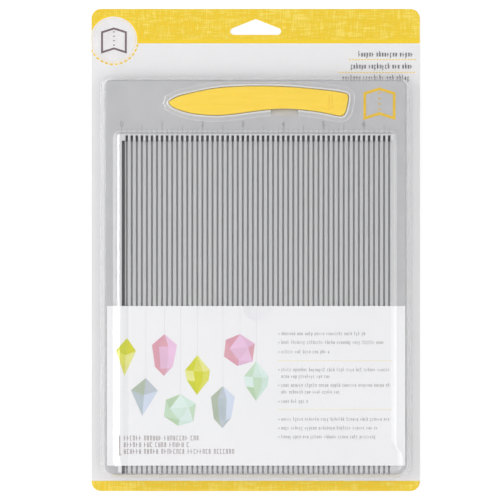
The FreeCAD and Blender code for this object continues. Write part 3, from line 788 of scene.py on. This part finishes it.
def make_ruler_marks():
    """Raised numbers, one at each inch line, and the crests of the ruler's ticks, in a darker grey
    that is painted shade standing in for the shading round these low raised marks.
    """
    # Painted shade: the ruler's marks get a darker grey so that they read as raised.
    material = ink("ruler_shade_grey", RULER_SHADE_GREY)
    zero = BOARD_LOW.x + mm(10.15)
    for number in range(GROOVES // 8 + 1):
        curve = bpy.data.curves.new(f"number_{number}", "FONT")
        curve.body = str(number)
        curve.size = mm(5.2)
        curve.align_x = "CENTER"
        curve.extrude = mm(0.07)
        curve.resolution_u = 3
        temporary = bpy.data.objects.new("number_curve", curve)
        mesh = bpy.data.meshes.new_from_object(temporary)
        bpy.data.objects.remove(temporary)
        made = put_in_scene(f"ruler_number_{number}", mesh)
        place = Vector((zero + number * INCH, BOARD_HIGH.y - mm(29.2), BOARD_TOP + mm(0.05)))
        for vert in mesh.vertices:
            vert.co += place
        mesh.materials.clear()
        mesh.materials.append(material)
        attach(made, "board")

    crests = bmesh.new()
    half = mm(0.15)
    front = BOARD_HIGH.y - mm(33.4)
    for eighth in range(GROOVES + 1):
        reach = mm(6.6) if eighth % 8 == 0 else mm(5.0) if eighth % 4 == 0 else mm(2.6)
        x = zero + eighth * INCH / 8
        box_patch(crests, x - half, front, x + half, front + reach)
    print_on(crests, lambda _: BOARD_TOP + TICK_HEIGHT)
    piece("ruler_ticks", crests, material, "board")


# ---- outlines ----


def edge_loop_at(mesh, height):
    """The closed loop of a mesh's vertices that lie at one height, in order, as (x, y)."""
    tolerance = mm(0.005)
    level = {v.index for v in mesh.vertices if abs(v.co.z - height) < tolerance}
    steps = {index: set() for index in level}
    for edge in mesh.edges:
        first, second = edge.vertices
        if first in level and second in level:
            steps[first].add(second)
            steps[second].add(first)
    start = min(level)
    loop = [start]
    previous = None
    while True:
        following = [index for index in steps[loop[-1]] if index != previous]
        if not following or following[0] == start:
            break
        previous = loop[-1]
        loop.append(following[0])
        if len(loop) > len(level):
            break
    points = [tuple(mesh.vertices[index].co.xy) for index in loop]
    area = sum(
        a[0] * b[1] - b[0] * a[1] for a, b in zip(points, points[1:] + points[:1])
    )
    return points if area > 0 else points[::-1]


def resampled(points, count):
    """The same closed loop with evenly spaced points."""
    closed = [Vector(point) for point in points] + [Vector(points[0])]
    lengths = [0.0]
    for a, b in zip(closed, closed[1:]):
        lengths.append(lengths[-1] + (b - a).length)
    result = []
    segment = 0
    for index in range(count):
        target = lengths[-1] * index / count
        while lengths[segment + 1] < target:
            segment += 1
        span = lengths[segment + 1] - lengths[segment]
        share = (target - lengths[segment]) / span if span else 0.0
        result.append(tuple(closed[segment].lerp(closed[segment + 1], share)))
    return result


def grown(points, margin):
    """The loop moved outwards by margin, for a gently curved anticlockwise loop."""
    count = len(points)
    moved = []
    for index, point in enumerate(points):
        before = Vector(points[index - 1])
        after = Vector(points[(index + 1) % count])
        along = (after - before).normalized()
        moved.append((point[0] + along.y * margin, point[1] - along.x * margin))
    return moved


def rounded_rectangle(left, front, right, back, front_radius, back_radius, steps=8):
    corners = [
        (left + front_radius, front + front_radius, front_radius, 180),
        (right - front_radius, front + front_radius, front_radius, 270),
        (right - back_radius, back - back_radius, back_radius, 0),
        (left + back_radius, back - back_radius, back_radius, 90),
    ]
    points = []
    for x, y, radius, start in corners:
        for index in range(steps + 1):
            angle = math.radians(start + 90 * index / steps)
            points.append((x + radius * math.cos(angle), y + radius * math.sin(angle)))
    return points


def rounded_profile(corners, radii, steps=6):
    """A polyline in the (margin, height) plane whose inner corners are rounded."""
    points = [Vector(corners[0])]
    for before, corner, after, radius in zip(corners, corners[1:], corners[2:], radii):
        corner = Vector(corner)
        back = (Vector(before) - corner).normalized()
        forward = (Vector(after) - corner).normalized()
        half_angle = back.angle(forward) / 2
        reach = radius / math.tan(half_angle)
        middle = corner + (back + forward).normalized() * radius / math.sin(half_angle)
        start = corner + back * reach - middle
        end = corner + forward * reach - middle
        for index in range(steps + 1):
            direction = start.lerp(end, index / steps).normalized()
            points.append(middle + direction * radius)
    points.append(Vector(corners[-1]))
    return points


# ---- the bone folder ----


FOLDER_HALF_WIDTH = mm(8.0)


def crown(distance):
    """How far the folder's face lies below its top, by distance from its edge."""
    edge = mm(0.9)
    drop = 0.0
    if distance < edge:
        share = 1.0 - distance / edge
        drop += mm(0.8) * (1.0 - math.sqrt(max(0.0, 1.0 - share * share)))
    return drop + mm(0.35) * (1.0 - min(1.0, distance / FOLDER_HALF_WIDTH)) ** 2


def distance_to(point, loop):
    best = 1.0
    place = Vector(point)
    for a, b in zip(loop, loop[1:] + loop[:1]):
        nearest, share = geometry.intersect_point_line(place, Vector(a), Vector(b))
        if share < 0:
            nearest = Vector(a)
        elif share > 1:
            nearest = Vector(b)
        best = min(best, (Vector(nearest[:2]) - place).length)
    return best


def inside(point, loop):
    x, y = point
    crossings = 0
    for (x1, y1), (x2, y2) in zip(loop, loop[1:] + loop[:1]):
        if (y1 > y) != (y2 > y) and x < x1 + (y - y1) * (x2 - x1) / (y2 - y1):
            crossings += 1
    return crossings % 2 == 1


def make_folder(outline, material):
    """A crowned solid on the folder's outline, with a softly rounded rim."""
    loop = resampled(outline, 220)
    points = list(loop)
    for margin in (0.12, 0.3, 0.55, 0.9, 1.4):
        for candidate in grown(resampled(outline, 180), -mm(margin)):
            if inside(candidate, loop) and distance_to(candidate, loop) > mm(margin) * 0.96:
                points.append(candidate)
    pitch = mm(1.5)
    columns = int((FOLDER_HIGH.x - FOLDER_LOW.x) / pitch)
    rows = int((FOLDER_HIGH.y - FOLDER_LOW.y) / pitch)
    for column in range(columns + 1):
        for row in range(rows + 1):
            shift = pitch / 2 if row % 2 else 0.0
            candidate = (FOLDER_LOW.x + column * pitch + shift, FOLDER_LOW.y + row * pitch)
            if inside(candidate, loop) and distance_to(candidate, loop) > mm(1.8):
                points.append(candidate)
    edges = [(index, (index + 1) % len(loop)) for index in range(len(loop))]
    vectors = [Vector(point) for point in points]
    placed, _, faces, _, _, _ = geometry.delaunay_2d_cdt(vectors, edges, [], 1, mm(0.001))
    bm = bmesh.new()
    top = []
    for place in placed:
        distance = distance_to(place, loop)
        top.append(bm.verts.new((place.x, place.y, FOLDER_HIGH.z - crown(distance))))
    for face in faces:
        centre = sum((placed[index] for index in face), Vector((0.0, 0.0))) / len(face)
        if inside(tuple(centre), loop):
            made = bm.faces.new([top[index] for index in face])
            made.normal_update()
            if made.normal.z < 0:
                made.normal_flip()
    rim = [edge for edge in bm.edges if len(edge.link_faces) == 1]
    middle_y = (FOLDER_LOW.y + FOLDER_HIGH.y) / 2
    for height, shrink in ((mm(0.6), 0.0), (mm(0.25), mm(0.12)), (0.0, mm(0.25))):
        result = bmesh.ops.extrude_edge_only(bm, edges=rim)
        lowered = [item for item in result["geom"] if isinstance(item, bmesh.types.BMVert)]
        for vert in lowered:
            away = vert.co.y - middle_y
            vert.co.y -= math.copysign(min(shrink, abs(away) * 0.5), away)
            vert.co.z = FOLDER_LOW.z + height
        rim = [item for item in result["geom"] if isinstance(item, bmesh.types.BMEdge)]
    bmesh.ops.contextual_create(bm, geom=rim)
    bmesh.ops.recalc_face_normals(bm, faces=bm.faces)
    made = piece("bone_folder_body", bm, material, "folder", smooth=True)
    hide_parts("bone_folder")


def make_grip_dots(outline):
    """Small raised grip dots, in a darker amber, near the folder's blunt end."""
    bm = bmesh.new()
    radius = mm(0.34)
    rise = mm(0.1)
    sides = 10
    for column in range(2):
        for row in range(7):
            x = FOLDER_HIGH.x - mm(12.2) + column * mm(1.9)
            y = FOLDER_LOW.y + mm(4.2) + row * mm(1.4) + column * mm(0.7)
            face_height = FOLDER_HIGH.z - crown(distance_to((x, y), outline))
            bottom = bm.verts.new((x, y, face_height - mm(0.2)))
            rings = []
            for tilt in (0, 30, 60):
                level = face_height + rise * math.sin(math.radians(tilt))
                spread = radius * math.cos(math.radians(tilt))
                rings.append(add_ring(bm, disc_points(x, y, spread, sides), level))
            peak = bm.verts.new((x, y, face_height + rise))
            for index in range(sides):
                following = (index + 1) % sides
                bm.faces.new((bottom, rings[0][following], rings[0][index]))
                for low, high in zip(rings, rings[1:]):
                    bm.faces.new((low[index], low[following], high[following], high[index]))
                bm.faces.new((rings[-1][index], rings[-1][following], peak))
    made = piece("folder_grip_dots", bm, ink("amber", shade(226, 160, 24)), "folder", smooth=True)


# ---- the clear cover ----

SHEET = mm(0.3)
FLANGE_TOP = CARD_HIGH.z + mm(0.4)
TRAY_TOP = BOARD_TOP + mm(0.8)
PANEL_TOP = BOARD_HIGH.z + mm(0.8)
BULGE_TOP = COVER_HIGH.z - mm(0.02)


def add_ring(bm, points, height):
    return [bm.verts.new((x, y, height)) for x, y in points]


def bridge(bm, outer, inner):
    count = len(outer)
    for index in range(count):
        following = (index + 1) % count
        face = bm.faces.new((outer[index], outer[following], inner[following], inner[index]))
        face.smooth = True


def loft(bm, loop_at, profile):
    """Joins the loops that loop_at gives for each (margin, height) of a profile."""
    rings = [add_ring(bm, loop_at(margin), height) for margin, height in profile]
    for outer, inner in zip(rings, rings[1:]):
        bridge(bm, outer, inner)
    return rings[0], rings[-1]


def ring_edges(bm, ring):
    found = []
    for index, vert in enumerate(ring):
        other = ring[(index + 1) % len(ring)]
        edge = bm.edges.get((vert, other)) or bm.edges.new((vert, other))
        found.append(edge)
    return found


def fill(bm, *rings):
    """A flat face between an outer ring and the rings inside it."""
    edges = [edge for ring in rings for edge in ring_edges(bm, ring)]
    bmesh.ops.triangle_fill(bm, edges=edges, use_beauty=True, normal=(0, 0, 1))


def hang_hole_loop():
    """The delta-shaped hole, taken from the card's own edge."""
    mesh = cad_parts["backing_card"].data
    reach = mm(20)
    nearest = mm(4)
    farthest = mm(22)
    top = [v for v in mesh.vertices if abs(v.co.z - CARD_HIGH.z) < mm(0.001)]
    rim = [
        v.co.xy
        for v in top
        if abs(v.co.x) < reach and nearest < CARD_HIGH.y - v.co.y < farthest
    ]
    middle = Vector((0.0, CARD_HIGH.y - mm(13.5)))
    ordered = sorted(rim, key=lambda p: math.atan2(p.y - middle.y, p.x - middle.x))
    loop = []
    for point in ordered:
        if not loop or (Vector(loop[-1]) - point).length > mm(0.05):
            loop.append(tuple(point))
    return loop


# How much of a bevel's run each side takes: the panel's is widest on the left, the tray's wall
# is steeper at the back.
TRAY_BACK_RUN = 0.6
LEFT_RUN, RIGHT_RUN, BACK_RUN, FRONT_RUN = 1.0, 0.8, 0.42, 0.7


def panel_loop(margin):
    """Outline of the raised panel over the grooves, whose right side flares out at the front."""
    left = BOARD_LOW.x + mm(4.6) - margin * LEFT_RUN
    right = BOARD_HIGH.x - mm(5.65) + margin * RIGHT_RUN
    back = BOARD_HIGH.y - mm(31.6) + margin * BACK_RUN
    front = BOARD_LOW.y + mm(1.6) - margin * FRONT_RUN
    flare = mm(3.8)
    growth = margin * 0.9
    back_corner = mm(4.6) + growth
    front_left_corner = mm(8.0) + growth
    front_right_corner = mm(5.2) + growth
    corner_steps = 8
    flare_steps = 12
    points = []

    def corner(x, y, radius, start, sweep=90):
        for index in range(corner_steps + 1):
            angle = math.radians(start + sweep * index / corner_steps)
            points.append((x + radius * math.cos(angle), y + radius * math.sin(angle)))

    corner(left + front_left_corner, front + front_left_corner, front_left_corner, 180)
    flared = right + flare
    corner(flared - front_right_corner, front + front_right_corner, front_right_corner, 270, 80)
    low = front + mm(8.5)
    high = front + mm(17.5)
    for index in range(flare_steps + 1):
        share = index / flare_steps
        eased = share * share * (3 - 2 * share)
        points.append((right + flare * (1 - eased), low + (high - low) * share))
    corner(right - back_corner, back - back_corner, back_corner, 0)
    corner(left + back_corner, back - back_corner, back_corner, 90)
    return points


def card_loop(inset):
    """The card's outline, moved inwards."""
    return rounded_rectangle(
        CARD_LOW.x + inset,
        CARD_LOW.y + inset,
        CARD_HIGH.x - inset,
        CARD_HIGH.y - inset,
        CARD_CORNER,
        CARD_CORNER,
    )


def tray_loop(margin):
    """Outline of the tray over the whole board."""
    return rounded_rectangle(
        BOARD_LOW.x - margin,
        BOARD_LOW.y - margin,
        BOARD_HIGH.x + margin,
        BOARD_HIGH.y + margin * TRAY_BACK_RUN,
        mm(6.0) + margin,
        mm(3.4) + margin,
    )


def make_cover(outline, material):
    """One thermoformed sheet: flange, tray walls, raised panel and the folder's bulge."""
    bm = bmesh.new()
    tray_corners = [(4.4, FLANGE_TOP), (2.9, FLANGE_TOP), (0.55, TRAY_TOP), (-0.8, TRAY_TOP)]
    ramp_top = TRAY_TOP + mm(0.4)
    panel_corners = [
        (0.9, TRAY_TOP),
        (0.0, TRAY_TOP),
        (-2.2, ramp_top),
        (-4.1, PANEL_TOP),
        (-4.6, PANEL_TOP),
    ]
    bulge_corners = [(4.7, TRAY_TOP), (3.8, TRAY_TOP), (1.1, BULGE_TOP), (0.2, BULGE_TOP)]

    def profile(corners, radii):
        in_metres = [(mm(margin), height) for margin, height in corners]
        return rounded_profile(in_metres, [mm(radius) for radius in radii])

    base = resampled(outline, 150)
    back_limit = BOARD_HIGH.y - mm(1.1)
    widest = mm(4.7)

    def bulge_loop(margin):
        limit = back_limit - (widest - margin) * 0.15
        return [(x, min(y, limit)) for x, y in grown(base, margin)]

    flange_ring = add_ring(bm, card_loop(mm(0.1)), FLANGE_TOP)
    hole_ring = add_ring(bm, grown(hang_hole_loop(), mm(0.25)), FLANGE_TOP)
    foot, tray_edge = loft(bm, tray_loop, profile(tray_corners, [0.9, 1.1]))
    panel_foot, panel_edge = loft(bm, panel_loop, profile(panel_corners, [1.5, 2.0, 0.8]))
    bulge_foot, bulge_edge = loft(bm, bulge_loop, profile(bulge_corners, [2.1, 2.3]))
    fill(bm, flange_ring, foot, hole_ring)
    fill(bm, tray_edge, panel_foot, bulge_foot)
    fill(bm, panel_edge)
    fill(bm, bulge_edge)
    bmesh.ops.recalc_face_normals(bm, faces=bm.faces)
    if sum(face.normal.z * face.calc_area() for face in bm.faces) < 0:
        bmesh.ops.reverse_faces(bm, faces=bm.faces)
    made = piece("cover_sheet", bm, material, "cover")
    shell = made.modifiers.new("sheet", "SOLIDIFY")
    shell.thickness = SHEET
    shell.offset = -1.0
    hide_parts("clear_cover")


# ---- stage ----


def make_stage():
    """A white floor, open where the card lies, so that light reaches the card's back as well."""
    bm = bmesh.new()
    half = 3.0
    around = add_ring(bm, [(-half, -half), (half, -half), (half, half), (-half, half)], 0.0)
    fill(bm, around, add_ring(bm, card_loop(mm(0.5)), 0.0))
    fill(bm, add_ring(bm, hang_hole_loop(), 0.0))
    mesh = bpy.data.meshes.new("floor")
    bm.to_mesh(mesh)
    bm.free()
    floor = put_in_scene("floor", mesh)
    g = Graph("floor_white")
    tone = g.ramp(g.noise(3.0), (0.4, (0.96, 0.96, 0.96)), (0.6, (0.97, 0.97, 0.97)))
    mesh.materials.append(g.principled(Base_Color=tone, Roughness=0.9))


def area_light(name, height, compass, distance, width, length, brightness):
    """A soft box aimed at the origin; height and compass (0 along +X) are its angles in degrees."""
    up = math.radians(height)
    turn = math.radians(compass)
    flat = math.cos(up)
    place = Vector((flat * math.cos(turn), flat * math.sin(turn), math.sin(up))) * distance
    data = bpy.data.lights.new(name, "AREA")
    data.shape = "RECTANGLE"
    data.size = length
    data.size_y = width
    data.energy = brightness * math.pi * width * length
    light = put_in_scene(name, data)
    light.location = place
    light.rotation_euler = (-place).to_track_quat("-Z", "Y").to_euler()


def make_lights():
    """Soft boxes low and high on the left, dimmer ones on the other sides, and a pale studio."""
    area_light("key_left", 30, 175, 2.0, 0.5, 1.9, 5.2)
    area_light("high_left", 68, 178, 2.1, 0.5, 1.7, 2.4)
    area_light("high_right", 56, -8, 2.1, 1.4, 2.2, 1.35)
    area_light("high_back", 56, 88, 2.1, 1.3, 2.2, 0.55)
    area_light("high_front", 56, -92, 2.1, 1.3, 2.2, 0.7)
    world = bpy.data.worlds.new("studio")
    bpy.context.scene.world = world
    world.use_nodes = True
    tree = world.node_tree
    background = tree.nodes["Background"]
    direction = tree.nodes.new("ShaderNodeTexCoord").outputs["Generated"]
    split = tree.nodes.new("ShaderNodeSeparateXYZ")
    ramp = tree.nodes.new("ShaderNodeValToRGB")
    tree.links.new(direction, split.inputs["Vector"])
    tree.links.new(split.outputs["Z"], ramp.inputs["Fac"])
    tree.links.new(ramp.outputs["Color"], background.inputs["Color"])
    horizon, overhead = ramp.color_ramp.elements
    horizon.position = 0.55
    horizon.color = (1.0, 1.0, 1.0, 1.0)
    overhead.position = 0.95
    overhead.color = (0.25, 0.25, 0.26, 1.0)
    background.inputs["Strength"].default_value = 0.85


def set_colours():
    """Plain display colours, with no film curve over them."""
    view = bpy.context.scene.view_settings
    view.view_transform = "Standard"
    view.look = "None"
    view.exposure = 0.0


def make_camera():
    """Straight above the pack, with a long lens."""
    height = 4.0
    view_width = mm(314.6)
    data = bpy.data.cameras.new("camera")
    data.sensor_width = 36.0
    data.lens = data.sensor_width * (height - BOARD_TOP) / view_width
    data.clip_end = 50.0
    camera = put_in_scene("camera", data)
    camera.location = (mm(-3.6), 0.0, height)
    bpy.context.scene.camera = camera


# ---- the whole scene ----


def paint(node, material):
    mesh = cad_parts[node]
    for slot in mesh.material_slots:
        slot.material = material
    if not mesh.material_slots:
        mesh.data.materials.append(material)


set_colours()
make_camera()
make_lights()
make_stage()

paint("backing_card", printed_card())
paint("scoring_board", moulded_grey())
paint("insert_label", label_paper())
foot_material = rubber()
for foot_name in ("front_left", "front_right", "back_left", "back_right"):
    paint("foot_" + foot_name, foot_material)

make_badge()
make_card_lines()
make_hanging_shapes()
make_insert_text()
make_board_mark()
make_ruler_marks()

folder_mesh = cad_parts["bone_folder"].data
folder_outline = edge_loop_at(folder_mesh, FOLDER_HIGH.z - mm(0.6))
make_folder(folder_outline, folder_yellow())
make_grip_dots(folder_outline)
make_cover(folder_outline, clear_sheet())
